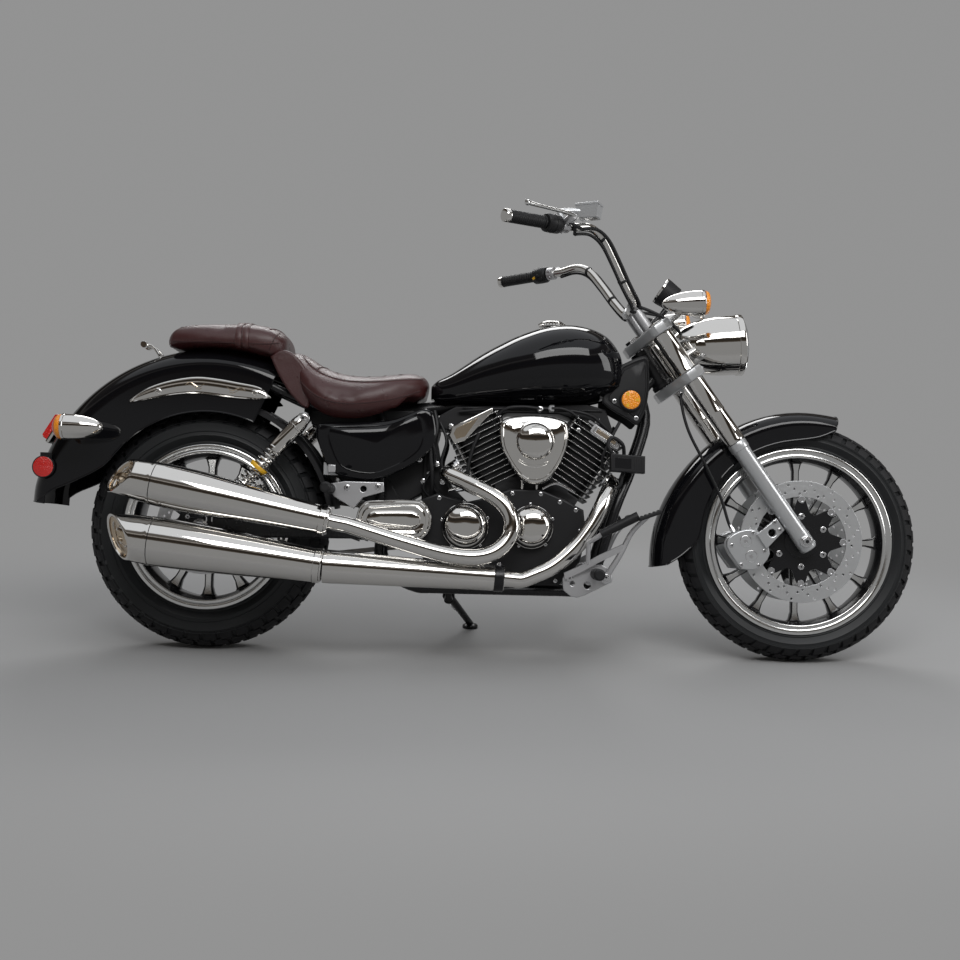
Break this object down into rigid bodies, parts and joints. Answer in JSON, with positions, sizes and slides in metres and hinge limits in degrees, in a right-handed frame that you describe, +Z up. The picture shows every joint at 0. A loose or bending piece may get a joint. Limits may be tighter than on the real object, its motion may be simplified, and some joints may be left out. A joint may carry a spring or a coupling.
{
  "type": "cruiser motorcycle",
  "caption": "Black and chrome cruiser motorcycle with a V engine, stacked mufflers, a brown two-piece seat and raised handlebar, parked on its side stand.",
  "frame": {"origin": "on the ground under the middle of the parked bike's box", "axes": "+X forward, +Y to the bike's left, +Z up; the bike leans left on its side stand"},
  "size_m": [2.356, 0.8813, 1.1861],
  "materials": {
    "frame_black": "satin",
    "black_plastic": "matte",
    "gloss_black": "gloss",
    "amber": "gloss",
    "chrome": "polished",
    "seat_leather": "satin",
    "red": "gloss",
    "steel": "brushed",
    "silver_paint": "satin",
    "engine_black": "satin",
    "rubber_black": "matte",
    "lamp_glass": "clear",
    "tyre_black": "matte",
    "wheel_alloy": "machined faces over black",
    "brake_steel": "brushed"
  },
  "bodies": {
    "frame": {"frame_tubes": "frame_black", "steering_head": "frame_black", "under_seat_box": "black_plastic", "side_covers": "gloss_black", "neck_covers": "black_plastic", "neck_reflectors": "amber", "fuel_tank": "gloss_black", "fuel_cap": "chrome", "front_seat": "seat_leather", "rear_seat": "seat_leather", "seat_strap": "seat_leather", "rear_fender": "gloss_black", "fender_rails": "chrome", "rear_signals": "chrome", "rear_signal_lenses": "amber", "tail_lamp": "red", "rear_reflectors": "red", "swingarm": "frame_black", "rear_axle": "steel", "rear_shocks": "chrome", "rear_caliper": "silver_paint", "crankcase": "engine_black", "front_cylinder": "engine_black", "rear_cylinder": "engine_black", "air_cleaner": "chrome", "engine_covers_right": "chrome", "engine_cover_left": "chrome", "drive_chain": "steel", "horn": "black_plastic", "rear_header": "chrome", "front_header": "chrome", "upper_muffler": "chrome", "lower_muffler": "chrome", "foot_controls": "silver_paint", "rear_pegs": "silver_paint"},
    "fork": {"yokes": "silver_paint", "fork_covers": "chrome", "fork_legs": "silver_paint", "front_axle": "steel", "handlebar": "chrome", "grips": "rubber_black", "switch_housings": "black_plastic", "levers": "silver_paint", "brake_reservoir": "silver_paint", "headlight_shell": "chrome", "headlight_lens": "lamp_glass", "front_signals": "chrome", "front_signal_lenses": "amber", "instrument": "black_plastic", "front_fender": "gloss_black", "front_calipers": "silver_paint", "brake_hoses": "rubber_black"},
    "front_wheel": {"front_tyre": "tyre_black", "front_rim": "wheel_alloy", "front_discs": "brake_steel"},
    "rear_wheel": {"rear_tyre": "tyre_black", "rear_rim": "wheel_alloy"},
    "stand": {"side_stand": "frame_black"}
  },
  "joints": [
    {"name": "steering", "type": "hinge", "parent": "frame", "child": "fork", "pos_m": [0.46915, -0.0573, 0.76207], "axis": [-0.5779, 0.1515, 0.8019], "range_deg": [-38, 38]},
    {"name": "front_wheel_spin", "type": "hinge", "parent": "fork", "child": "front_wheel", "pos_m": [0.86075, -0.14231, 0.31213], "axis": [0, 0.9826, -0.1857], "continuous": true},
    {"name": "rear_wheel_spin", "type": "hinge", "parent": "frame", "child": "rear_wheel", "pos_m": [-0.70625, -0.14166, 0.31557], "axis": [0, 0.9826, -0.1857], "continuous": true},
    {"name": "side_stand_swing", "type": "hinge", "parent": "frame", "child": "stand", "pos_m": [-0.06625, -0.04745, 0.12476], "axis": [0, 0.8975, 0.441], "range_deg": [0, 92]}
  ]
}
